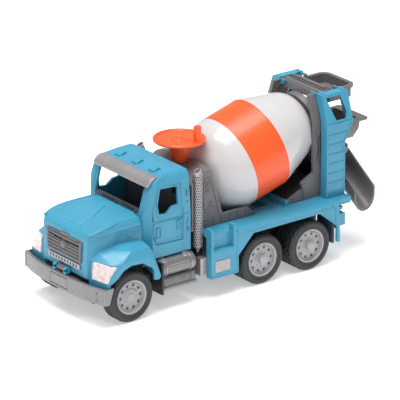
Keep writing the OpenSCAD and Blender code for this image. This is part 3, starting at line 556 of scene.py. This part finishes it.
def cab_side(x, z):
    """The cab's side wall."""
    return between(CAB_SECTION, z)


def flat(y):
    """A plain side wall at y."""
    return lambda x, z: y


def relief(outline, side, proud):
    """A flat shape in x and z that lies on a curved side wall and stands proud of it."""
    return loft([[(x, side(x, z) + h, z) for x, z in outline] for h in (-SUNK, proud)])


def strip(path, side, width, proud):
    """A narrow raised line along a path in x and z on a side wall."""
    points = [Vector(p) for p in path]
    shapes = []
    for a, b in zip(points, points[1:]):
        off = Vector((a.y - b.y, b.x - a.x)).normalized() * width / 2
        shapes.append(relief([a + off, b + off, b - off, a - off], side, proud))
    return shapes


def bonnet_details():
    """Ridges along the shoulders, the raised panel on the top and louvres in the sides."""
    ridges = []
    for drop, end, r in ((0.2, 150.3, 1.15), (5.4, 149.4, 0.9)):
        path = []
        for x in (100.2, 104, 112, 120, 128, 134, 140, 145, end):
            z = 81.6 - drop - 5.4 * max(0.0, (x - 118) / 32) ** 1.7
            path.append((x, bonnet_side(x, z) - 0.25, z))
        ridges.append(rod(path, r, 12))
    piece("bonnet_ridges", mirrored(ridges), "blue_plastic")
    # a low wedge on the top, pointed towards the cab
    half, rear, shoulder, front = 10.8, 111.0, 130.0, 145.6
    rings = []
    for i in range(25):
        x = rear + (front - rear) * i / 24
        w = 0.8 + (half - 0.8) * min(1.0, (x - rear) / (shoulder - rear))
        z = between(BONNET_TOP, x)
        rings.append([(x, -w, z - 0.4), (x, -w, z + 0.35), (x, -w + 0.4, z + 0.6), (x, w - 0.4, z + 0.6),
                      (x, w, z + 0.35), (x, w, z - 0.4)])
    piece("bonnet_panel", [loft(rings)], "blue_plastic", smooth=30)
    louvre = []
    for i in range(9):
        x = 103.2 + 2.5 * i
        low, high = 68.9 - 0.25 * i, 74.2 - 0.19 * i
        louvre += strip([(x + 0.9, low), (x, (low + high) / 2), (x - 0.2, high)], bonnet_side, 0.95, 0.55)
    edge = [(101.6, 69.4), (101.9, 74.6), (113, 74.6), (123.4, 73.2), (125.6, 70.6), (126.2, 66.2),
            (113, 67.6), (101.6, 69.4)]
    louvre += strip(edge, bonnet_side, 0.7, 0.4)
    piece("bonnet_louvres", mirrored(louvre), "blue_plastic")


BUMPER_FRONT, BUMPER_HALF, BUMPER_BOW = 159, 57, 7


def bumper_face(y):
    """Front of the bowed bumper."""
    return BUMPER_FRONT - BUMPER_BOW * (abs(y) / BUMPER_HALF) ** 3


def front_details():
    """Lamp ribs, bumper rivets, the fenders below the lamps, and shadows in the strip and grille."""
    ribs, count = [], 7
    for i in range(count):
        t = (i + 0.5) / count
        y, x0, x1 = 37 + 16.4 * t, 151.0 - 3.6 * t * t - 0.4 * t, 149.4 - 8.1 * t
        low, high = 41.2 + 0.3 * t, 53.6 - 1.5 * t
        lean = (x1 - x0) / (high - low)
        ribs.append(rod([(x0 + lean * 1.2, y, low + 1.2), (x1 - lean * 1.2, y, high - 1.2)], 0.34, 8))
    piece("lens_ribs", mirrored(ribs), "lens_clear")
    rivets = []
    for y, z in [(51.5, 33.6), (51.5, 24.8), (44, 34.2), (44, 24.4), (30, 34.6), (30, 24.0), (22, 34.6),
                 (22, 24.0)]:
        rivets.append(stud((bumper_face(y) - 0.05, y, z), (1, 0.15 * y / 50, 0), 0.55, 0.35))
    piece("bumper_rivets", mirrored(rivets), "silver_finish")
    chin = [[(front - 2.7, y, 30), (front, y, 30), (front + 0.4, y, 40.3), (front - 2.7, y, 40.3)]
            for y, front in ((31.0, 150.2), (40.0, 149.5), (48.0, 148.5), (54.2, 147.4))]
    piece("fender_chins", mirrored([loft(chin)]), "blue_plastic", round_off=0.3)
    # dark boxes of painted shade in the slots of the strip
    dark = [box((152.72, y + 0.35, 45.0), (153.0, y + 2.05, 47.0)) for y in range(-20, 17, 4)]
    piece("intake_slot_shadows", dark, "interior_plastic")
    gaps = []
    for i in range(5):
        z = 52.4 + 2.9 * i
        gaps += [box((152.82, y0, z + 0.12), (152.95, y1, z + 1.28))
                 for y0, y1 in ((-21.8, -4.1), (4.1, 21.8))]
    piece("grille_shadows", gaps, "interior_plastic")


# ---------- cab ----------

# The side window's outline in x and z
WINDOW = [(84.3, 105.0), (66.5, 103.8), (66.5, 88.3), (72.6, 87.8), (79.0, 82.7), (86.5, 83.4),
          (87.6, 91.7)]


def grown(outline, amount):
    """The outline moved outward by amount, for an outline that runs anticlockwise."""
    points = [Vector(p) for p in outline]
    out = []
    for i, p in enumerate(points):
        a, b = (p - points[i - 1]).normalized(), (points[(i + 1) % len(points)] - p).normalized()
        normal = Vector((a.y + b.y, -a.x - b.x)).normalized()
        out.append(p + normal * amount / max(0.4, normal.dot(Vector((a.y, -a.x)))))
    return out


def frame_ring(inner, outer, side, proud):
    """A raised frame between two outlines on a side wall."""
    rings = []
    for a, b in zip(inner, outer):
        rings.append([(p[0], side(p[0], p[1]) + h, p[1]) for p, h in
                      ((a, -SUNK), (a, proud), (b, proud), (b, -SUNK))])
    return loft(rings, closed=True)


def cab_details():
    """Door lips and handles, painted shade in the slots, trim, windscreen base, wipers, pillars and roof."""
    lips = [frame_ring(grown(WINDOW, 0.15), grown(WINDOW, 1.5), cab_side, 0.55)]
    door = [(62.6, 78.4), (62.6, 106.9), (86.0, 106.3), (92.2, 88.0), (92.2, 78.6)]
    lips += strip(door, cab_side, 0.8, 0.45)
    lower = [(62.7, 75.9), (62.7, 58.9), (88.9, 58.2), (92.2, 66.4), (92.2, 76.2), (62.7, 75.9)]
    lips += strip(lower, cab_side, 0.7, 0.4)
    lips += strip([(53.9, 77.9), (61.0, 77.9)], cab_side, 1.3, 0.6)
    lips += strip([(93.6, 78.6), (93.6, 56)], cab_side, 0.6, 0.35)
    piece("door_lips", mirrored(lips), "blue_plastic")
    handles = []
    for lo, hi in (((63.9, 66.8), (67.9, 74.6)), ((85.0, 62.9), (89.6, 71.8))):
        corners = [(lo[0], lo[1]), (hi[0], lo[1]), (hi[0], hi[1]), (lo[0], hi[1])]
        handles.append(frame_ring(grown(corners, -0.9), corners, flat(43.6), 0.8))
    piece("handle_frames", mirrored(handles), "blue_plastic")
    # flat dark shapes of painted shade in the cab's slots
    slots = [relief([(56.1, z0), (57.5, z0), (57.5, z1), (56.1, z1)], cab_side, 0.06)
             for z0, z1 in ((93.2, 98.6), (73.2, 89.6), (62.4, 66.2))]
    piece("cab_slot_shade", mirrored(slots), "interior_plastic")
    edges = strip([(58.9, 60), (58.9, 101)], cab_side, 0.7, 0.4)
    edges += strip([(54.7, 60), (54.7, 101)], cab_side, 0.7, 0.4)
    edges += [relief([(55.6, 68.4), (58, 68.4), (58, 71.2), (55.6, 71.2)], cab_side, 0.9)]
    piece("cab_edge_trim", mirrored(edges), "blue_plastic")
    base = [across([(97.4, 83.8), (99.3, 84.2), (98.7, 87.0), (96.9, 86.8)], -30.6, 30.6)]
    piece("windscreen_base", base, "interior_plastic", round_off=0.3)
    wipers = []
    for y0, y1 in ((27.5, 6.0), (1.5, -20.5)):
        wipers.append(rod([(99.4, y0, 84.9), (99.2, y1, 86.4)], 0.35, 8))
        wipers.append(rod([(99.2, y0 - 3, 86.6), (99.0, y1 + 1, 86.9)], 0.3, 8))
        wipers.append(stud((99.0, y0, 84.8), AHEAD, 0.9, 1.0))
    piece("wipers", wipers, "black_plastic")
    # two beads up each windscreen pillar, which leans back from its foot
    foot, low, high, y = 83.6, 86.5, 104.5, 31.3
    slope = (92.8 - 99.0) / (105.5 - foot)
    inner = [(99.2 + slope * (low - foot), y, low), (99.2 + slope * (high - foot), y + 0.4, high)]
    outer = [(99.1 + slope * (low - foot), y + 3.4, low), (98.9 + slope * (high - foot), y + 3.4, high)]
    piece("pillar_beads", mirrored([rod(inner, 0.45, 8), rod(outer, 0.4, 8)]), "blue_plastic")
    roof = [rod([(57, 36.0, 116.2), (70, 35.9, 116.0), (79, 35.7, 115.3)], 0.5, 8)]
    piece("roof_beads", mirrored(roof), "blue_plastic")
    lamps = []
    for y in (-23.5, 0, 23.5):
        lamps += [box((79.6, y - 3.2, 114.6), (81.0, y + 3.2, 116.2)),
                  box((73.6, y - 3.2, 117.2), (76.4, y + 3.2, 118.3))]
    piece("roof_lamp_faces", lamps, "blue_plastic", round_off=0.3)


# ---------- side fittings ----------

TANK_Y, TANK_Z, TANK_R = 42.4, 36.0, 7.8


def tank_details():
    """Straps, ridges, cap and step treads of the fuel tanks, painted shade in the gap under them, and chequer
    plate on the side boxes.
    """
    straps, ridges = [], []
    for x in (58, 84):
        straps.append(moved(facing((x - 0.55, TANK_Y, TANK_Z), AHEAD), hoop(band(8.2, 8.75, 0, 1.1), 48)))
    for angle in (62, 24, -12):
        a = math.radians(angle)
        y, z = TANK_Y + (TANK_R + 0.05) * math.cos(a), TANK_Z + (TANK_R + 0.05) * math.sin(a)
        ridges.append(rod([(60.5, y, z), (82, y, z)], 0.5, 8))
    cap = moved(facing((61.8, TANK_Y + 2.4, TANK_Z + 7.2), (0, 0.3, 1)),
                turned([(2.6, -0.6), (2.6, 0.9), (2.2, 1.4), (0.9, 1.5)], 24))
    for x in (57.2, 84.8):
        ridges += [bolt((x, 48.9, 25.6), (0, 1, 0.3), 0.7, 0.5), bolt((x, 49.7, 22.6), (0, 1, 0.3), 0.7, 0.5)]
    piece("tank_straps", mirrored(straps), "silver_finish", round_off=0.15)
    piece("tank_ridges", mirrored(ridges), "silver_finish")
    piece("tank_caps", mirrored([cap]), "silver_finish")
    # a dark strip of painted shade in the gap under the tank
    gap = [along([(40.5, 28.5), (47.4, 28.5), (47.9, 27.2), (40.5, 27.2)], 54.2, 87.0)]
    piece("tank_gap_shade", mirrored(gap), "interior_plastic")
    treads = []
    for i in range(14):
        x = 55.6 + 2.3 * i
        treads.append(rod([(x, 48.45, 23.6), (x + 1.3, 48.2, 26.4)], 0.26, 6))
        treads.append(rod([(x + 1.3, 48.45, 23.6), (x, 48.2, 26.4)], 0.26, 6))
    piece("tank_step_treads", mirrored(treads), "silver_finish")
    hatch = chequer_wall((42.2, 22.2), (1.65, 1.9), (4, 8), BOX_Y, 0.35)
    piece("side_box_chequer", mirrored(hatch), "silver_finish")


def bed_details():
    """Edges, lines and bolts of the bed and its skirts, the beam's ribs and the tail lamps."""
    line = [box((-95.5, DECK_W - 0.9, DECK_Z - 0.1), (12.5, DECK_W - 0.1, DECK_Z + 0.45)),
            box((-113.2, 48.6, DECK_Z - 0.1), (-97, 49.6, DECK_Z + 0.4)),
            box((-113.4, -48.6, DECK_Z - 0.1), (-112.6, 48.6, DECK_Z + 0.4))]
    piece("deck_edges", mirrored(line[:2]) + line[2:], "blue_plastic", round_off=0.15)
    skirt = flat(DECK_W)
    brace = strip([(-78.5, 52.2), (-93.2, 51.4), (-93.4, 35.5), (-78.5, 51.4)], skirt, 0.8, 0.35)
    brace += strip([(13.5, 51.8), (-4.5, 51.8), (-76, 51.8)], skirt, 0.5, 0.25)
    brace += strip([(14.0, 19.0), (39.2, 19.0)], skirt, 0.7, 0.35)
    brace += strip([(13.6, 19.5), (13.6, 58)], skirt, 0.6, 0.3)
    piece("skirt_lines", mirrored(brace), "blue_plastic")
    bolts = [bolt((x, DECK_W, z), OUT, 0.75, 0.45)
             for x, z in ((-17, 53.3), (-48, 53.3), (-77.6, 53.5), (-89.9, 53.6))]
    bolts += [bolt((39.7, y, DECK_Z), UP, 0.7, 0.4) for y in (20, 46)]
    bolts += [bolt((-54.0, y, 57.6), AHEAD, 0.8, 0.5) for y in (8, 20, 31)]
    bolts += [bolt((-55.5, y, 60.0), UP, 0.8, 0.4) for y in (12, 31)]
    piece("bed_bolts", mirrored(bolts), "blue_plastic")
    ribs = [box((-57.6, y - 0.5, DECK_Z), (-53.4, y + 0.5, 60.3)) for y in (-34.2, -16, 0, 16, 34.2)]
    piece("beam_ribs", ribs, "blue_plastic", round_off=0.15)
    lamps = [facing((-107.5, y, 36.5), ASTERN) for y in (40.4, 45.8)]
    rings = [moved(lamp, hoop(band(1.5, 2.3, -0.3, 0.4), 24)) for lamp in lamps]
    piece("tail_lamp_rings", mirrored(rings), "blue_plastic")
    lenses = [moved(lamp, turned([(1.55, -0.2), (1.5, 0.15), (0.9, 0.3)], 20)) for lamp in lamps]
    piece("tail_lamps", mirrored(lenses), "orange_plastic")


# ---------- frame, towers and drive ----------

def frame_details():
    """Lines and studs of the posts and the cross beam, and lines, bolts and clips of the towers."""
    studs = [stud((x, POST_Y, z), OUT, 0.55, 0.4) for x, z in
             ((-77.0, 69.8), (-77.0, 59.6), (-86.4, 59.6), (-60.6, 57.6), (-102.6, 59.6))]
    piece("post_studs", mirrored(studs), "grey_plastic")
    post = flat(POST_Y)
    lines = strip([(-75.6, 57.0), (-73.4, 70.2), (-86.2, 76.8), (-86.2, 121)], post, 0.9, 0.5)
    lines += strip([(-72.6, 57.0), (-72.6, 65.2)], post, 0.7, 0.6)
    lines += strip([(-86.2, 118.8), (-103, 118.8)], post, 0.9, 0.5)
    piece("post_lines", mirrored(lines), "grey_plastic")
    beam = [box((-111.4, -23.2, BEAM_Z), (-109.9, 23.2, 146.7)),
            box((-98.4, -23.2, BEAM_Z), (-97.2, 23.2, 146.7)),
            box((-104.3, -22, BEAM_Z), (-103.2, 22, 147.2))]
    piece("beam_lines", beam, "grey_plastic", round_off=0.2)
    ledge = strip([(-93.4, 121.2), (-120.2, 121.2)], flat(TOWER_RIB_Y), 1.0, 0.3)
    piece("tower_lines", mirrored(ledge), "blue_plastic")
    bolts = [bolt((x, 42.2, z), OUT, 0.7, 0.5)
             for x, z in ((-110.2, 58.4), (-110.2, 98), (-95.8, 58.4))]
    piece("tower_bolts", mirrored(bolts), "blue_plastic")
    hooks = []
    for x in (-97.5, -118.6):
        hooks.append(box((x - 1.6, 24.5, 146.2), (x + 1.6, 32.4, 147.0)))
    piece("tower_clips", mirrored(hooks), "blue_plastic", round_off=0.2)


def drive_details():
    """Dark shapes of a pump under the drum's tail, fins ahead of it and two bars behind it."""
    shapes = [box((-86.5, -20, 68), (-81, 20, 72)), box((-86, 4, 71), (-82, 19, 73)),
              box((-100.8, -24, 60), (-98.8, 24, 62)), box((-100.8, -24, 74), (-98.8, 24, 76))]
    for y, r in ((-12, 2.6), (11.5, 2.2)):
        can = [(r, 0), (r, 7), (r - 0.8, 8), (1.2, 8.2)]
        shapes.append(moved(facing((-87, y, 73.6), AHEAD), turned(can, 24)))
        shapes += [moved(facing((-85.4 + 2 * k, y, 73.6), AHEAD), hoop(band(r - 0.3, r + 0.6, 0, 0.8), 24))
                   for k in range(3)]
    for i in range(5):
        shapes.append(box((-80.6 + 1.7 * i, -6.5, 69), (-79.8 + 1.7 * i, 2.5, 69.4)))
    piece("drive_block", shapes, "black_plastic", round_off=0.25)


def pedestal_details():
    """Lines and studs of the drum's pedestal, and the collar under the handwheel."""
    wall = flat(POST_Y)
    lines = strip([(-14.5, 63.9), (15.4, 63.9)], wall, 0.9, 0.5)
    lines += strip([(-21.0, 56.4), (-14.2, 63.6)], wall, 0.8, 0.5)
    lines += strip([(16.2, 66.2), (25.4, 99.6), (44.6, 98.0)], wall, 0.9, 0.55)
    lines += strip([(34.6, 72.8), (44.6, 72.8)], wall, 0.8, 0.5)
    lines += strip([(34.6, 70), (44.6, 70)], wall, 0.6, 0.4)
    piece("pedestal_lines", mirrored(lines), "grey_plastic")
    studs = [stud((x, POST_Y, z), OUT, 0.6, 0.4)
             for x, z in ((19.4, 69.4), (30.0, 69.4), (43.4, 69.4), (-17, 57.6))]
    studs.append(stud((25.6, 34.0, 76.6), OUT, 0.9, 0.5))
    piece("pedestal_studs", mirrored(studs), "grey_plastic")
    collar = hoop([(9.7, -1), (10.3, -1), (10.3, 0.6), (9.7, 0.9)], 48)
    piece("pedestal_collar", [moved(facing((HAND_X, 0, 105.6), UP), collar)], "grey_plastic")


def suspension_details():
    """Leaf springs and hangers over every axle, which show through the gaps between the wheels."""
    shapes, leaves = [], 4
    for x in (AXLES["mid"], AXLES["rear"], AXLES["front"]):
        for k in range(leaves):
            half = 15 - 2.6 * k if x != AXLES["front"] else 9 - 1.6 * k
            z = 31.6 - 1.1 * k
            shapes.append(box((x - half, 27.2, z), (x + half, 29.6, z + 0.9)))
        shapes.append(box((x - 1.6, 26.8, 27.2), (x + 1.6, 29.8, 33.4)))
    piece("leaf_springs", mirrored(shapes), "black_plastic", round_off=0.15)


def drum_details():
    """Fine mould lines on the drum's shells, and raised edges of its band."""
    turn = Matrix.Translation(DRUM_AT) @ Matrix.Rotation(DRUM_TILT - math.pi / 2, 4, "Y")
    shapes = []
    for angle in (100, 280):
        a = math.radians(angle)
        c, s = math.cos(a), math.sin(a)
        shapes.append(rod([(40.7 * c, 40.7 * s, 35), (30.35 * c, 30.35 * s, 65.6)], 0.16, 6))
    piece("drum_mould_lines", [moved(turn, shape) for shape in shapes], "white_plastic", "drum")
    band_r = 41.3
    rim = [moved(turn, hoop(band(band_r - 0.5, band_r + 0.15, z, z + 0.8), 128)) for z in (-3.4, 30.8)]
    piece("drum_band_edges", rim, "orange_plastic", "drum")


for build in (bonnet_details, front_details, cab_details, tank_details, bed_details, frame_details,
              drive_details, pedestal_details, suspension_details, drum_details):
    build()


# ---------- stage ----------

def camera():
    """The camera stands at the front left, a little above the truck."""
    target = Vector((0.01108, 0.0, 0.06587))
    around, up, distance = math.radians(37.43), math.radians(21.11), 3.4495
    back = Vector((math.sin(around) * math.cos(up), math.cos(around) * math.cos(up), math.sin(up)))
    data = bpy.data.cameras.new("camera")
    data.sensor_width = 36.0
    data.lens = 366.3
    data.clip_start, data.clip_end = 0.05, 50
    obj = bpy.data.objects.new("camera", data)
    bpy.context.scene.collection.objects.link(obj)
    obj.location = target + back * distance
    obj.rotation_mode = "QUATERNION"
    obj.rotation_quaternion = (-back).to_track_quat("-Z", "Y")
    bpy.context.scene.camera = obj


def area_light(name, place, aim, size, power):
    """A soft lamp at place, pointed at aim, both in metres."""
    data = bpy.data.lights.new(name, "AREA")
    data.size = size
    data.energy = power
    obj = bpy.data.objects.new(name, data)
    bpy.context.scene.collection.objects.link(obj)
    obj.location = place
    obj.rotation_mode = "QUATERNION"
    obj.rotation_quaternion = (Vector(aim) - Vector(place)).to_track_quat("-Z", "Y")


def studio():
    """A pale floor, an even white surround and three soft lamps, the strongest overhead."""
    mesh = bpy.data.meshes.new("floor")
    half = 6.0
    corners = [(-half, -half, 0), (half, -half, 0), (half, half, 0), (-half, half, 0)]
    mesh.from_pydata(corners, [], [(0, 1, 2, 3)])
    floor = bpy.data.objects.new("floor", mesh)
    bpy.context.scene.collection.objects.link(floor)
    m, tree, shader, where = new_material("floor")
    pale = mixed(tree, noise(tree, where, 3), (0.88, 0.88, 0.89), (0.91, 0.91, 0.91))
    tree.links.new(pale, shader.inputs["Base Color"])
    shader.inputs["Roughness"].default_value = 0.6
    shader.inputs["Specular IOR Level"].default_value = 0.2
    shader.inputs["Emission Color"].default_value = (1, 1, 1, 1)
    shader.inputs["Emission Strength"].default_value = 0.4
    mesh.materials.append(m)
    world = bpy.data.worlds.new("world")
    world.use_nodes = True
    sky = world.node_tree.nodes["Background"]
    sky.inputs["Color"].default_value = (1, 1, 1, 1)
    sky.inputs["Strength"].default_value = 0.45
    bpy.context.scene.world = world
    area_light("key", place=(0.2, 0.05, 2.1), aim=(0, 0, 0.06), size=1.4, power=52)
    area_light("front", place=(1.9, 0.5, 0.8), aim=(0.1, 0, 0.06), size=0.8, power=2.5)
    area_light("side", place=(0.4, 2.0, 1.0), aim=(0, 0, 0.06), size=0.8, power=0.8)
    bpy.context.scene.view_settings.view_transform = "Standard"


camera()
studio()
